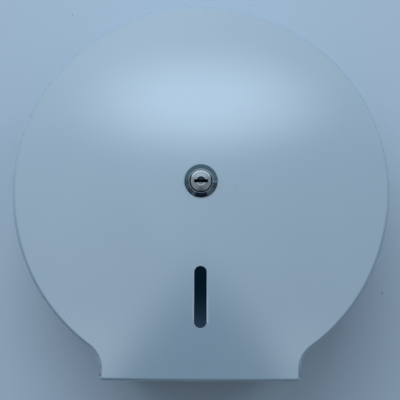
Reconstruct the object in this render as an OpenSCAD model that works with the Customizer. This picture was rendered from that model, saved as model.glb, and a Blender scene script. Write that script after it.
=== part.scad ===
// Wall dispenser for jumbo toilet rolls: a round moulded cover with a skirt at
// the bottom, hinged on a shallow back plate that carries a turning roll hub.
// Millimetres. X is to the right, Z is up, the wall is the plane Y = 0 and the
// front faces -Y. The origin is on the wall, on the axis of the round cover.

/* [Cover] */
// Radius of the round cover at its rear edge
cover_r = 135; // [130:1:145]
// Distance from the wall to the middle of the front
cover_depth = 122; // [116:1:134]
// How far the middle of the front bulges past its round edge
front_crown = 7; // [5:0.5:9]
// Wall thickness of the cover
cover_wall = 2.8; // [2.4:0.1:3.2]
// How far the side wall draws in from its rear edge to the front
side_draft = 2.4; // [1.6:0.2:3.2]
// Rounding between the front and the side wall
edge_r = 5; // [4.5:0.5:7]
// Gap between the wall and the cover's rear edge
rear_gap = 2; // [1.5:0.5:3]

/* [Skirt] */
// Width of the skirt at its rear edge
skirt_w = 147; // [141:1:156]
// Distance from the cover's axis down to the skirt's bottom edge
skirt_drop = 133.3; // [132.3:0.1:138.3]
// Hollow rounding between the round cover and the skirt
neck_r = 17.2; // [15.2:0.2:20.2]
// Rounding of the skirt's bottom corners
corner_r = 5; // [4:0.5:6]
// Width of the ledge on each side of the paper outlet
outlet_ledge = 13.5; // [12.5:0.5:16]
// Depth of the lip in front of the paper outlet
outlet_lip = 10; // [8:0.5:14]
// Height of the pull notch on each side of the skirt
notch_h = 7.5; // [6:0.5:9]
// Depth of the pull notch into the side of the skirt
notch_cut = 1.2; // [0.8:0.1:1.6]
// Length of the pull notch, from the front edge back
notch_run = 14; // [10:1:20]
// Height of the pull notch's middle above the skirt's bottom edge
notch_rise = 9.6; // [8.6:0.2:11.6]

/* [Level window] */
// Width of the window slot
window_w = 8.6; // [7.6:0.1:10.6]
// Height of the window slot
window_h = 43.6; // [38:0.2:50]
// Distance from the cover's axis down to the middle of the slot
window_drop = 70.8; // [68.8:0.5:76.8]
// Thickness of the window's rear flange
window_flange_t = 1.5; // [1.2:0.1:2]
// Width of the window's flange around the slot
window_flange_w = 6; // [5.5:0.5:8]
// How far the window's face sits below the cover's surface
window_recess = 0.4; // [0.2:0.1:0.8]
// Diameter of the stakes that hold the window
stake_d = 2.6; // [2.2:0.2:3]

/* [Lock] */
// Height of the lock and the roll hub above the cover's axis
lock_rise = 10; // [8:0.5:12]
// Diameter of the lock's front flange
flange_d = 23; // [22.2:0.2:25.4]
// Height of the flange at its inner ring
flange_h = 2.2; // [1.8:0.1:2.8]
// Diameter of the lock barrel
barrel_d = 18.8; // [18.2:0.2:19.4]
// Width across the barrel's two flats
barrel_flat = 16; // [15.4:0.2:17]
// Length of the barrel behind the flange
barrel_l = 18.6; // [17.6:0.2:22]
// Diameter of the plug's face
plug_face_d = 15; // [14.8:0.1:15.6]
// Diameter of the plug inside the barrel
plug_d = 13; // [12.4:0.2:13.4]
// Width of the keyway
keyway_w = 9.7; // [8.7:0.1:10.1]
// Height of the keyway
keyway_h = 2.2; // [1.8:0.1:2.6]
// Diameter of the shallow recess round the keyway
recess_d = 6.3; // [5.3:0.1:7.3]
// Thickness of the cam
cam_t = 2; // [1.6:0.1:2.6]
// Width of the cam's tongue
cam_w = 12; // [10:0.5:12.5]
// Thickness of the lock nut
nut_t = 4; // [3:0.5:5]
// Width of the lock nut across its flats
nut_flat = 24; // [23:0.5:26]

/* [Back plate] */
// Thickness of the back plate
plate_t = 3; // [2.6:0.2:4]
// Distance that the rim stands out from the wall
rim_depth = 24; // [22:1:30]
// Thickness of the rim
rim_t = 2.4; // [2:0.2:3]
// Clearance between the rim's front edge and the cover
rim_gap = 0.6; // [0.5:0.1:1]
// Width of the square of wall screws
screw_span = 140; // [130:2:150]
// Diameter of the wall screw holes
wall_hole_d = 5.5; // [5:0.5:6.5]
// Diameter of the bosses round the wall screw holes
wall_boss_d = 16; // [14:1:18]
// Height of the stiffening ribs above the wall
rib_h = 8; // [6:0.5:9]
// Thickness of the stiffening ribs
rib_t = 1.8; // [1.4:0.2:2.4]
// Radius of the round stiffening rib
ring_rib_r = 72; // [62:1:80]

/* [Hinge] */
// Distance of the hinge axis from the wall
hinge_out = 12; // [11.5:0.1:13]
// Distance of the hinge axis above the skirt's bottom edge
hinge_rise = 11.3; // [10.9:0.1:11.5]
// Diameter of the hinge pins
pin_d = 4; // [3:0.2:5]
// Length of the ears that hold the pins
ear_l = 6; // [5:0.5:8]

/* [Roll hub] */
// Outer diameter of the turning hub
hub_d = 56; // [54:1:62]
// Diameter of the fixed post inside the hub
post_d = 46; // [45:0.5:48]
// Wall thickness of the post
post_wall = 3; // [2.6:0.2:3.2]
// Diameter of the hub's rear flange
hub_flange_d = 84; // [78:1:96]
// Thickness of the hub's rear flange
hub_flange_t = 2; // [1.6:0.2:3]
// Thickness of the hub's outer tube
hub_skin = 2; // [1.6:0.1:2.2]
// Thickness of the keeper plate
keeper_t = 1.5; // [1.2:0.1:2]

/* [Tear strips] */
// Thickness of the steel tear strips
strip_t = 0.8; // [0.6:0.1:1.2]
// Spacing of the teeth
tooth_pitch = 4; // [3:0.5:5]
// Height of the teeth
tooth_h = 2.5; // [1.5:0.25:3]

/* [Hidden] */
$fn = 48;

// Clearances
shaft_fit = 0.05;    // radial, a shaft that turns in its bore
snug_fit = 0.02;     // radial, a pin or screw held in its hole
loose_fit = 0.3;     // a moulded part that slides or turns freely
seat_gap = 0.2;      // between two fixed parts that lie in each other
eps = 0.5;           // how far a cut runs past the face that it opens

// Point counts along half of the cover's outline
bottom_steps = 4;
corner_steps = 4;
neck_steps = 6;
round_steps = 40;

// Front surface: part of a large sphere
dome_r = (cover_r * cover_r + front_crown * front_crown) / (2 * front_crown);
inner_edge_r = edge_r - cover_wall;
side_top = front_at(cover_r - side_draft - edge_r) - edge_r;

// Hinge
hinge_z = hinge_rise - skirt_drop;
lug_r = hinge_rise - 0.3;
ear_r = lug_r - cover_wall - 0.7;
ear_out = skirt_w / 2 - rim_inset();
notch_z = notch_rise - skirt_drop;

// Outlet
outlet_half = skirt_w / 2 - outlet_ledge;
outlet_front = front_at(skirt_drop) - outlet_lip;

// Lock stack, as distances from the wall
spot_cut = 0.2;
spot_d = flange_d + 0.8;
lock_seat = front_at(lock_rise) - spot_cut;
lock_pad = front_at(lock_rise) - cover_wall - 1.2;
lock_pad_d = nut_flat / cos(30) + 2;
washer_t = 1;
barrel_end = lock_seat - barrel_l;
cup_floor = lock_seat + 0.2;
face_front = lock_seat + flange_h - 0.4;
face_back = cup_floor + loose_fit;
stop_pin_r = 0.8;
stop_pin_ring = 8;
stop_play = 1.5;
face_chamfer = 0.4;
recess_t = 0.9;
keyway_l = 16;
keyway_end = face_front - keyway_l;
wafer_count = 4;
wafer_t = 0.8;
wafer_pitch = 2.4;
wafer_h = 6.6;
wafer_first = face_back - 2.4;
drive_w = 7.2;
shank_r = 6;

// Keeper, cam and post
keeper_front = barrel_end - seat_gap;
keeper_back = keeper_front - keeper_t;
cam_front = keeper_back - 0.5;
cam_back = cam_front - cam_t;
post_r = post_d / 2;
post_bore_r = post_r - post_wall;
cam_reach = post_bore_r - 3.5;
cam_head_r = 7.5;
keeper_r = hub_d / 2 - 1.5;
keeper_hole_r = barrel_d / 2 + 2.6;
keeper_slot_w = cam_w + 2;
keeper_slot_r = cam_reach + 4.5;
keeper_screw_d = 2.4;
keeper_screw_l = keeper_t + 9;
keeper_pilot = 12;
keeper_boss_r = 3.2;
keeper_boss_l = 16;
keeper_screw_ring = post_r - keeper_boss_r;
keeper_angles = [45, 135, -45];
cam_screw_d = 4;
cam_screw_l = 7;
cam_washer_t = 0.8;
cam_washer_r = 5.5;

// Post seat on the back plate
pad_top = 6;
pad_r = 38;
pad_bore_r = 24;
post_flange_t = 3;
post_flange_r = 35;
post_screw_ring = 29.5;
post_screw_d = 3;
post_screw_l = post_flange_t + 4.5;
post_screw_angles = [45:90:315];
post_shoulder_r = post_r + 2.5;
hub_back = pad_top + post_flange_t + 3.4;
hub_front = keeper_back - loose_fit;
hub_bore_r = post_r + loose_fit;
hub_chamfer = 1.2;
hub_rib_t = 1.6;
hub_hole_d = 8;

// Pan-head screws: head diameter and height for each millimetre of shank
pan_wide = 2;
pan_high = 0.62;

// Tear strips
strip_w = outlet_ledge - cover_wall - side_draft - loose_fit;
strip_back = rim_depth + 4;
strip_front = outlet_front - 1;
strip_lift = 0.6;
strip_z = cover_wall + side_draft + strip_lift - skirt_drop;
strip_screws = 3;
strip_end = 6;
strip_screw_d = 2.8;
strip_pilot = cover_wall + strip_lift - 0.8;

// Depth of the domed front at a distance r from the axis
function front_at(r) = cover_depth - dome_r + sqrt(dome_r * dome_r - r * r);

// How far the side wall has drawn in at a distance d from the wall
function draft_at(d) = side_draft * (d - rear_gap) / (side_top - rear_gap);

// Inset of the back plate's outline from the cover's rear outline
function rim_inset() = cover_wall + draft_at(rim_depth) + rim_gap;

// Points along an arc, both ends included
function arc(cx, cz, r, from, to, steps) = [
    for (i = [0:steps])
        let (a = from + (to - from) * i / steps)
            [cx + r * cos(a), cz + r * sin(a)]
];

// Middle of the neck rounding, which every inset outline shares
neck_x = skirt_w / 2 + neck_r;
neck_z = -sqrt(pow(cover_r + neck_r, 2) - neck_x * neck_x);
neck_angle = atan2(neck_z, neck_x);

// Right half of the outline, from the bottom middle up to the top
function half_outline(inset) =
    let (
        w = skirt_w / 2 - inset,
        b = skirt_drop - inset,
        c = max(corner_r - inset, 0.8),
        up = arc(0, 0, cover_r - inset, neck_angle, 90, round_steps)
    )
    concat(
        [for (i = [0:bottom_steps - 1]) [(w - c) * i / bottom_steps, -b]],
        arc(w - c, c - b, c, -90, 0, corner_steps),
        arc(neck_x, neck_z, neck_r + inset, 180, 180 + neck_angle, neck_steps),
        [for (i = [1:round_steps]) up[i]]
    );

// Whole outline from its right half
function mirrored(right) =
    let (n = len(right))
    concat(right, [for (i = [n - 2:-1:1]) [-right[i][0], right[i][1]]]);

// Whole outline of the cover, drawn in by an inset
function outline(inset) = mirrored(half_outline(inset));

// Height that a point on the cover's rear edge reaches as it swings over the hinge
function swung(z) =
    z < hinge_z ? z : hinge_z + norm([z - hinge_z, hinge_out - rear_gap]);

// The same outline with each point at the height that it reaches in the swing
function swung_outline(inset) =
    mirrored([for (p = half_outline(inset)) [p[0], swung(p[1])]]);

// One ring of the shell: points p at depths d
function ring(p, d) = [for (i = [0:len(p) - 1]) [p[i][0], -d[i], p[i][1]]];

// Rings of one skin of the cover, from its rear edge to the lock
function skin(inset, r, back, steps, scales) =
    let (
        ends = outline(inset + side_draft + r),
        rim = [for (p = ends) front_at(norm(p)) - back],
        hub = [0, lock_rise],
        edge = outline(inset)
    )
    concat(
        [ring(edge, [for (p = edge) rear_gap])],
        [
            for (k = [0:steps])
                let (t = 90 * k / steps)
                    ring(
                        outline(inset + side_draft + r * (1 - cos(t))),
                        [for (e = rim) e - r * (1 - sin(t))]
                    )
        ],
        [
            for (s = scales)
                let (p = [for (q = ends) hub + s * (q - hub)])
                    ring(p, [for (q = p) front_at(norm(q)) - back])
        ]
    );

function reversed(list) = [for (i = [len(list) - 1:-1:0]) list[i]];

// Puts its children on the wall plane and extrudes them towards the front
module forward(d) {
    translate([0, -d, 0])
        rotate([90, 0, 0])
            children();
}

// The same, on the axis of the lock and the hub
module on_axis(d) {
    forward(d)
        translate([0, lock_rise, 0])
            children();
}

// A round bar or bore along the lock axis, between two distances from the wall
module turned(r, from, to) {
    on_axis(from)
        cylinder(r = r, h = to - from);
}

// A block given by its sides, with depths measured from the wall
module block(x1, x2, d1, d2, z1, z2) {
    translate([x1, -d2, z1])
        cube([x2 - x1, d2 - d1, z2 - z1]);
}

// A round bar along the hinge axis, from x1 to x2
module hinge_bar(r, x1, x2) {
    translate([x1, -hinge_out, hinge_z])
        rotate([0, 90, 0])
            cylinder(r = r, h = x2 - x1);
}

module stadium(w, h) {
    translate([0, (h - w) / 2])
        circle(d = w);
    translate([0, (w - h) / 2])
        circle(d = w);
    square([w, h - w], center = true);
}

module rounded_rect(w, h, r) {
    square([w - 2 * r, h], center = true);
    square([w, h - 2 * r], center = true);
    for (x = [-1, 1], y = [-1, 1])
        translate([x * (w / 2 - r), y * (h / 2 - r)])
            circle(r = r);
}

// Places its children at points on a circle round the lock axis
module around_axis(r, angles) {
    for (a = angles)
        rotate([0, 0, a])
            translate([r, 0, 0])
                children();
}

// A pan-head screw: its head stands on z = 0 and its shank points down
module pan_screw(d, length) {
    head_d = pan_wide * d;
    head_h = pan_high * d;
    rotate_extrude()
        polygon([
            [0, -length], [d / 2 - 0.3, -length], [d / 2, -length + 0.6], [d / 2, 0],
            [head_d / 2, 0], [head_d / 2, head_h * 0.55], [head_d / 2 * 0.7, head_h],
            [0, head_h],
        ]);
}

// ---- Cover -------------------------------------------------------------

// The lofted shell: a domed front, a rounded edge and drafted side walls that
// follow the outline, with a small hole where the lock goes through
module shell_loft() {
    hole_scale = 0.25 * barrel_flat / norm([skirt_w / 2, skirt_drop]);
    outer = skin(0, edge_r, 0, 4, [0.8, 0.62, 0.45, 0.3, 0.16, hole_scale]);
    inner = skin(cover_wall, inner_edge_r, cover_wall, 2, [0.68, 0.4, 0.18, hole_scale]);
    rings = concat(outer, reversed(inner));
    n = len(rings[0]);
    m = len(rings);
    polyhedron(
        points = [for (r = rings) each r],
        faces = [
            for (k = [0:m - 1])
                let (a = k * n, b = ((k + 1) % m) * n)
                    for (i = [0:n - 1])
                        let (j = (i + 1) % n)
                            each [[a + i, b + i, b + j], [a + i, b + j, a + j]]
        ]
    );
}

// Hole with two flats that keeps the lock barrel from turning
module barrel_profile(fit) {
    intersection() {
        circle(d = barrel_d + 2 * fit);
        square([barrel_flat + 2 * fit, barrel_d + 2], center = true);
    }
}

// Frame on the inner face of the dome at the level window, square to it
module at_window() {
    forward(front_at(window_drop) - cover_wall)
        translate([0, -window_drop, 0])
            rotate([asin(window_drop / dome_r), 0, 0])
                children();
}

module at_stakes() {
    for (s = [-1, 1])
        translate([0, s * (window_h / 2 + window_flange_w / 2), 0])
            children();
}

// Everything that the cover's lower rear corners lose so that they can swing
module hinge_relief() {
    difference() {
        block(-skirt_w, skirt_w, -eps, hinge_out, hinge_z - 2 * lug_r, hinge_z);
        hinge_bar(lug_r, -skirt_w, skirt_w);
    }
    inside = skirt_w / 2 - cover_wall - draft_at(hinge_out) + 0.3;
    block(-inside, inside, -eps, hinge_out, hinge_z - 2 * lug_r, hinge_z - 2);
}

module outlet_cut() {
    block(-outlet_half, outlet_half, -eps, outlet_front, -skirt_drop - 5, hinge_z - 2);
}

module pull_notches() {
    front = front_at(norm([skirt_w / 2, notch_z]));
    depth = skirt_w / 2 - side_draft - notch_cut;
    for (s = [0, 1])
        mirror([s, 0, 0])
            block(
                depth, skirt_w, front - notch_run, front + 5,
                notch_z - notch_h / 2, notch_z + notch_h / 2
            );
}

// Flat ledges that carry the tear strips
module strip_ledges() {
    for (s = [0, 1])
        mirror([s, 0, 0])
            block(
                outlet_half, skirt_w / 2 - side_draft - 1, strip_back - 1, outlet_front + 1,
                strip_z - cover_wall, strip_z
            );
}

module at_strip_screws() {
    span = strip_front - strip_back - 2 * strip_end;
    for (i = [0:strip_screws - 1])
        translate([
            outlet_half + strip_w / 2 + 0.5,
            -strip_back - strip_end - span * i / (strip_screws - 1), strip_z,
        ])
            children();
}

module lock_pad_ring() {
    turned(lock_pad_d / 2, lock_pad, front_at(lock_rise) - cover_wall / 2);
    on_axis(lock_pad)
        for (a = [30:60:330])
            rotate([0, 0, a])
                translate([lock_pad_d / 2 - 1, -rib_t / 2, 0])
                    cube([10, rib_t, front_at(lock_rise) - cover_wall / 2 - lock_pad]);
}

module cover_shell() {
    color([0.84, 0.9, 0.95])
        union() {
            difference() {
                union() {
                    shell_loft();
                    lock_pad_ring();
                    strip_ledges();
                }
                on_axis(lock_pad - eps)
                    linear_extrude(cover_depth)
                        barrel_profile(seat_gap / 2);
                turned(spot_d / 2, lock_seat, cover_depth + 5);
                at_window()
                    translate([0, 0, -3])
                        linear_extrude(cover_wall + 6)
                            stadium(window_w, window_h);
                at_window()
                    translate([0, 0, -3])
                        linear_extrude(3)
                            rounded_rect(
                                window_w + 2 * window_flange_w + 2 * seat_gap,
                                window_h + 2 * window_flange_w + 2 * seat_gap, 3
                            );
                outlet_cut();
                hinge_relief();
                pull_notches();
                hinge_bar(pin_d / 2 + shaft_fit, -skirt_w, skirt_w);
                for (s = [0, 1])
                    mirror([s, 0, 0])
                        at_strip_screws()
                            translate([0, 0, -strip_pilot])
                                cylinder(d = strip_screw_d + 2 * snug_fit, h = strip_pilot + eps);
            }
            at_window()
                at_stakes() {
                    translate([0, 0, -window_flange_t - 0.5])
                        cylinder(d = stake_d, h = window_flange_t + 0.5 + cover_wall / 2);
                    translate([0, 0, -window_flange_t - 0.9])
                        cylinder(d = stake_d + 1.8, h = 0.9);
                }
        }
}

module level_window() {
    color([0.08, 0.12, 0.16])
        at_window()
            difference() {
                union() {
                    translate([0, 0, -window_flange_t])
                        linear_extrude(window_flange_t)
                            rounded_rect(
                                window_w + 2 * window_flange_w,
                                window_h + 2 * window_flange_w, 3
                            );
                    linear_extrude(cover_wall - window_recess)
                        stadium(window_w - 2 * seat_gap, window_h - 2 * seat_gap);
                }
                at_stakes()
                    translate([0, 0, -window_flange_t - eps])
                        cylinder(d = stake_d + 0.2, h = window_flange_t + 2 * eps);
            }
}

// ---- Tear strips -------------------------------------------------------

// Right-hand strip: a flat steel bar whose teeth reach into the outlet
module tear_strip() {
    length = strip_front - strip_back;
    teeth = floor(length / tooth_pitch);
    start = (length - teeth * tooth_pitch) / 2;
    difference() {
        translate([outlet_half, -strip_back, strip_z])
            linear_extrude(strip_t)
                polygon(concat(
                    [[strip_w, 0], [0, 0]],
                    [
                        for (i = [0:teeth - 1])
                            let (y = -start - i * tooth_pitch)
                                each [[0, y], [-tooth_h, y - tooth_pitch / 2]]
                    ],
                    [[0, start - length], [0, -length], [strip_w, -length]]
                ));
        at_strip_screws()
            translate([0, 0, -eps])
                cylinder(d = strip_screw_d + 0.4, h = strip_t + 2 * eps);
    }
}

module tear_strip_right() {
    color("silver")
        tear_strip();
}

module tear_strip_left() {
    color("silver")
        mirror([1, 0, 0])
            tear_strip();
}

module tear_strip_screws() {
    color("gray")
        for (s = [0, 1])
            mirror([s, 0, 0])
                at_strip_screws()
                    translate([0, 0, strip_t])
                        pan_screw(strip_screw_d, strip_t + strip_pilot - 0.3);
}

// ---- Lock --------------------------------------------------------------

// Barrel and flange in one piece, with a cup for the plug's face and a small
// pin on the rear end that stops the plug after a quarter turn
module lock_housing() {
    color([0.6, 0.64, 0.68])
        difference() {
            union() {
                on_axis(0)
                    rotate_extrude()
                        polygon([
                            [0, lock_seat], [flange_d / 2, lock_seat],
                            [flange_d / 2, lock_seat + flange_h * 0.35],
                            [flange_d / 2 - 0.3, lock_seat + flange_h * 0.5],
                            [plug_face_d / 2 + loose_fit + 0.5, lock_seat + flange_h],
                            [0, lock_seat + flange_h],
                        ]);
                on_axis(barrel_end)
                    linear_extrude(barrel_l + flange_h * 0.2)
                        barrel_profile(0);
                on_axis(barrel_end - 1)
                    translate([0, stop_pin_ring, 0])
                        cylinder(r = stop_pin_r, h = 2);
            }
            turned(plug_d / 2 + shaft_fit, barrel_end - eps, face_front);
            turned(plug_face_d / 2 + loose_fit, cup_floor, face_front + 2);
        }
}

module lock_washer() {
    color("silver")
        difference() {
            turned(barrel_d / 2 + 3.4, lock_pad - washer_t, lock_pad);
            turned(barrel_d / 2 + 0.15, lock_pad - washer_t - eps, lock_pad + eps);
        }
}

module lock_nut() {
    color("silver")
        difference() {
            on_axis(lock_pad - washer_t - nut_t)
                cylinder(d = nut_flat / cos(30), h = nut_t, $fn = 6);
            turned(barrel_d / 2 + snug_fit, lock_pad - washer_t - nut_t - eps, lock_pad);
        }
}

module wafer_profile(fit) {
    intersection() {
        circle(r = plug_d / 2 - 0.15 + fit);
        square([plug_d + 2, wafer_h + 2 * fit], center = true);
    }
}

module at_wafers() {
    for (i = [0:wafer_count - 1])
        on_axis(wafer_first - i * wafer_pitch)
            children();
}

module lock_plug() {
    color([0.72, 0.75, 0.78])
        difference() {
            union() {
                turned(plug_face_d / 2, face_back, face_front - face_chamfer);
                on_axis(face_front - face_chamfer)
                    cylinder(
                        r1 = plug_face_d / 2, r2 = plug_face_d / 2 - face_chamfer,
                        h = face_chamfer
                    );
                turned(plug_d / 2, barrel_end, face_back + 1);
                turned(shank_r, cam_front, barrel_end + 1);
                on_axis(cam_back)
                    translate([-drive_w / 2, -drive_w / 2, 0])
                        cube([drive_w, drive_w, cam_t + 1]);
            }
            on_axis(keyway_end)
                translate([-keyway_w / 2, -keyway_h / 2, 0])
                    cube([keyway_w, keyway_h, face_front - keyway_end + eps]);
            on_axis(face_front - recess_t)
                cylinder(
                    r1 = recess_d / 2 - recess_t, r2 = recess_d / 2 + eps, h = recess_t + eps
                );
            at_wafers()
                translate([0, 0, -0.05])
                    linear_extrude(wafer_t + 0.1)
                        square([plug_d + 2, wafer_h + 0.1], center = true);
            turned(cam_screw_d / 2 + snug_fit, cam_back - eps, cam_back + 7);
        }
}

// Sliding plates inside the plug, drawn back to the plug's surface
module lock_wafers() {
    color("goldenrod")
        at_wafers()
            linear_extrude(wafer_t)
                difference() {
                    wafer_profile(0);
                    square([keyway_w + 0.2, keyway_h + 0.2], center = true);
                }
}

// Ring between the barrel and the cam, cut back where the stop pin travels
module stop_washer() {
    play = asin(stop_pin_r / stop_pin_ring) + stop_play;
    color("gray")
        difference() {
            on_axis(cam_front)
                linear_extrude(barrel_end - seat_gap - cam_front)
                    difference() {
                        circle(r = stop_pin_ring + stop_pin_r);
                        difference() {
                            polygon([
                                [0, 0], for (a = [90 - play, 135, 180 + play]) 20 * [cos(a), sin(a)],
                            ]);
                            circle(r = shank_r + 1);
                        }
                    }
            turned(shank_r + snug_fit, cam_front - eps, barrel_end);
        }
}

module lock_cam() {
    color("silver")
        on_axis(cam_back)
            linear_extrude(cam_t)
                difference() {
                    union() {
                        circle(r = cam_head_r);
                        translate([-cam_w / 2, -cam_reach + 2])
                            square([cam_w, cam_reach - 2]);
                        for (s = [-1, 1])
                            translate([s * (cam_w / 2 - 2), -cam_reach + 2])
                                circle(r = 2);
                        translate([-cam_w / 2 + 2, -cam_reach])
                            square([cam_w - 4, 4]);
                    }
                    square(drive_w + 2 * snug_fit, center = true);
                }
}

module cam_washer() {
    color("gray")
        difference() {
            turned(cam_washer_r, cam_back - cam_washer_t, cam_back);
            turned(cam_screw_d / 2 + 0.15, cam_back - cam_washer_t - eps, cam_back + eps);
        }
}

module cam_screw() {
    color("gray")
        on_axis(cam_back - cam_washer_t)
            mirror([0, 0, 1])
                pan_screw(cam_screw_d, cam_screw_l);
}

// ---- Back plate and post -----------------------------------------------

// Outline of the tray, which stays clear of the cover's neck as the cover swings
module plate_outline(inset) {
    intersection() {
        polygon(outline(inset));
        polygon(swung_outline(inset));
    }
}

// What the tray leaves free at each lower corner for the cover's ledges
module ledge_room(margin) {
    reach = outlet_half - 0.5 - margin;
    top = hinge_z + 2 + margin;
    for (s = [-1, 1])
        translate([s * (reach + skirt_w / 2), top - skirt_w / 2])
            square(skirt_w, center = true);
}

module tray_profile() {
    difference() {
        plate_outline(rim_inset());
        ledge_room(0);
    }
}

module tray_rim() {
    difference() {
        tray_profile();
        difference() {
            plate_outline(rim_inset() + rim_t);
            ledge_room(rim_t);
        }
    }
}

module at_wall_screws() {
    for (x = [-1, 1], z = [-1, 1])
        translate([x * screw_span / 2, z * screw_span / 2, 0])
            children();
}

// Spokes and a ring that stiffen the plate, left out where the paper comes down
module ribs() {
    intersection() {
        linear_extrude(rib_h)
            plate_outline(rim_inset() + rim_t / 2);
        union() {
            for (a = [-45:45:225])
                rotate([0, 0, a])
                    translate([pad_bore_r + lock_rise + 1, -rib_t / 2, 0])
                        cube([cover_r, rib_t, rib_h]);
            difference() {
                cylinder(r = ring_rib_r + rib_t / 2, h = rib_h);
                translate([0, 0, -eps])
                    cylinder(r = ring_rib_r - rib_t / 2, h = rib_h + 2 * eps);
            }
        }
    }
}

module back_plate() {
    color([0.8, 0.82, 0.84])
        difference() {
            union() {
                forward(0) {
                    linear_extrude(plate_t)
                        tray_profile();
                    linear_extrude(rim_depth)
                        tray_rim();
                    ribs();
                    at_wall_screws()
                        cylinder(d = wall_boss_d, h = pad_top);
                }
                turned(pad_r, 0, pad_top);
                for (s = [0, 1])
                    mirror([s, 0, 0])
                        hinge_bar(ear_r, ear_out - ear_l, ear_out);
            }
            turned(pad_bore_r, plate_t, rib_h + eps);
            turned(pad_r + 0.1, pad_top, rib_h + eps);
            forward(-eps)
                at_wall_screws()
                    cylinder(d = wall_hole_d, h = pad_top + 2 * eps);
            forward(pad_top)
                at_wall_screws()
                    cylinder(d = wall_boss_d - 1, h = rib_h);
            on_axis(1)
                around_axis(post_screw_ring, post_screw_angles)
                    cylinder(d = post_screw_d + 2 * snug_fit, h = pad_top);
            hinge_bar(pin_d / 2 + snug_fit, -skirt_w, skirt_w);
        }
}

module hinge_pins() {
    color("silver")
        for (s = [0, 1])
            mirror([s, 0, 0])
                hinge_bar(pin_d / 2, ear_out - ear_l - 1, skirt_w / 2 - 0.4);
}

module spindle_post() {
    top = pad_top + post_flange_t;
    color([0.78, 0.8, 0.82])
        difference() {
            union() {
                turned(post_flange_r, pad_top, top);
                turned(post_shoulder_r, pad_top, hub_back - loose_fit);
                turned(post_r, pad_top, keeper_back);
            }
            difference() {
                turned(post_bore_r, pad_top - eps, keeper_back + eps);
                intersection() {
                    turned(post_r - 1, keeper_back - keeper_boss_l, keeper_back);
                    on_axis(keeper_back - keeper_boss_l)
                        around_axis(keeper_screw_ring, keeper_angles)
                            cylinder(r = keeper_boss_r, h = keeper_boss_l);
                }
            }
            on_axis(keeper_back - keeper_pilot)
                around_axis(keeper_screw_ring, keeper_angles)
                    cylinder(d = keeper_screw_d + 2 * snug_fit, h = keeper_pilot + eps);
            on_axis(pad_top - eps)
                around_axis(post_screw_ring, post_screw_angles)
                    cylinder(d = post_screw_d + 0.4, h = post_flange_t + 2 * eps);
        }
}

module spindle_screws() {
    color("gray")
        on_axis(pad_top + post_flange_t)
            around_axis(post_screw_ring, post_screw_angles)
                pan_screw(post_screw_d, post_screw_l);
}

module keeper_plate() {
    color("silver")
        on_axis(keeper_back)
            linear_extrude(keeper_t)
                difference() {
                    circle(r = keeper_r);
                    circle(r = keeper_hole_r);
                    translate([-keeper_slot_w / 2, -keeper_slot_r])
                        square([keeper_slot_w, keeper_slot_r]);
                    around_axis(keeper_screw_ring, keeper_angles)
                        circle(d = keeper_screw_d + 0.4);
                }
}

module keeper_screws() {
    color("gray")
        on_axis(keeper_front)
            around_axis(keeper_screw_ring, keeper_angles)
                pan_screw(keeper_screw_d, keeper_screw_l);
}

module roll_hub() {
    length = hub_front - hub_back;
    bearing_r = hub_bore_r + 1.5;
    rib_from = (bearing_r + hub_bore_r) / 2;
    rib_to = (hub_d - hub_skin) / 2;
    color([0.85, 0.87, 0.88])
        on_axis(hub_back)
            difference() {
                union() {
                    rotate_extrude()
                        polygon([
                            [hub_d / 2 - hub_skin, 0], [hub_flange_d / 2, 0],
                            [hub_flange_d / 2, hub_flange_t], [hub_d / 2, hub_flange_t],
                            [hub_d / 2, length - hub_chamfer], [hub_d / 2 - hub_chamfer, length],
                            [hub_d / 2 - hub_skin, length],
                        ]);
                    difference() {
                        union() {
                            cylinder(r = bearing_r, h = length);
                            cylinder(r = rib_to, h = hub_flange_t);
                        }
                        translate([0, 0, -eps])
                            cylinder(r = hub_bore_r, h = cover_depth);
                    }
                    for (a = [0:45:315])
                        rotate([0, 0, a])
                            translate([rib_from, -hub_rib_t / 2, 0])
                                cube([rib_to - rib_from, hub_rib_t, length]);
                }
                for (a = [22.5:45:337.5])
                    rotate([0, 0, a])
                        translate([(hub_flange_d + hub_d) / 4, 0, -eps])
                            cylinder(d = hub_hole_d, h = hub_flange_t + 2 * eps);
            }
}

back_plate();
spindle_post();
spindle_screws();
keeper_plate();
keeper_screws();
hinge_pins();
cover_shell();
level_window();
tear_strip_left();
tear_strip_right();
tear_strip_screws();
lock_housing();
lock_washer();
lock_nut();
lock_plug();
lock_wafers();
stop_washer();
lock_cam();
cam_washer();
cam_screw();
roll_hub();
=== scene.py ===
"""Looks of a wall dispenser for jumbo toilet rolls: materials, stage, light and camera."""

import math

import bmesh
import bpy
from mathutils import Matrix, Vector


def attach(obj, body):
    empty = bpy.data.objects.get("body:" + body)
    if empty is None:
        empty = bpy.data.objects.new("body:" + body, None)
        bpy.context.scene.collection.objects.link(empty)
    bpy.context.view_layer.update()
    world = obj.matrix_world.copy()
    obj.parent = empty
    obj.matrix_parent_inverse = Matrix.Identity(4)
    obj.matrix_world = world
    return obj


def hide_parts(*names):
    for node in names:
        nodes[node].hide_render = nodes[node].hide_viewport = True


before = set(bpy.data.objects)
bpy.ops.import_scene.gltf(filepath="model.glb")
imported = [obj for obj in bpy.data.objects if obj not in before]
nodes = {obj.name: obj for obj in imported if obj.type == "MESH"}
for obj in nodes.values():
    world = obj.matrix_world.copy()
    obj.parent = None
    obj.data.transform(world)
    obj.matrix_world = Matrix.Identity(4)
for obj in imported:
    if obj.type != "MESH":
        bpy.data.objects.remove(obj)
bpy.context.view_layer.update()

MM = 0.001

# Camera: the photograph's distance, focal length in pixels, and the object's place in it
CAMERA_DISTANCE = 0.8
FOCAL_PIXELS = 977.0
IMAGE_PIXELS = 400.0
SENSOR = 36.0
CAMERA_X = -0.63 * MM
CAMERA_Z = -3.3 * MM
CAMERA_ROLL = math.radians(-0.3)

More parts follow.
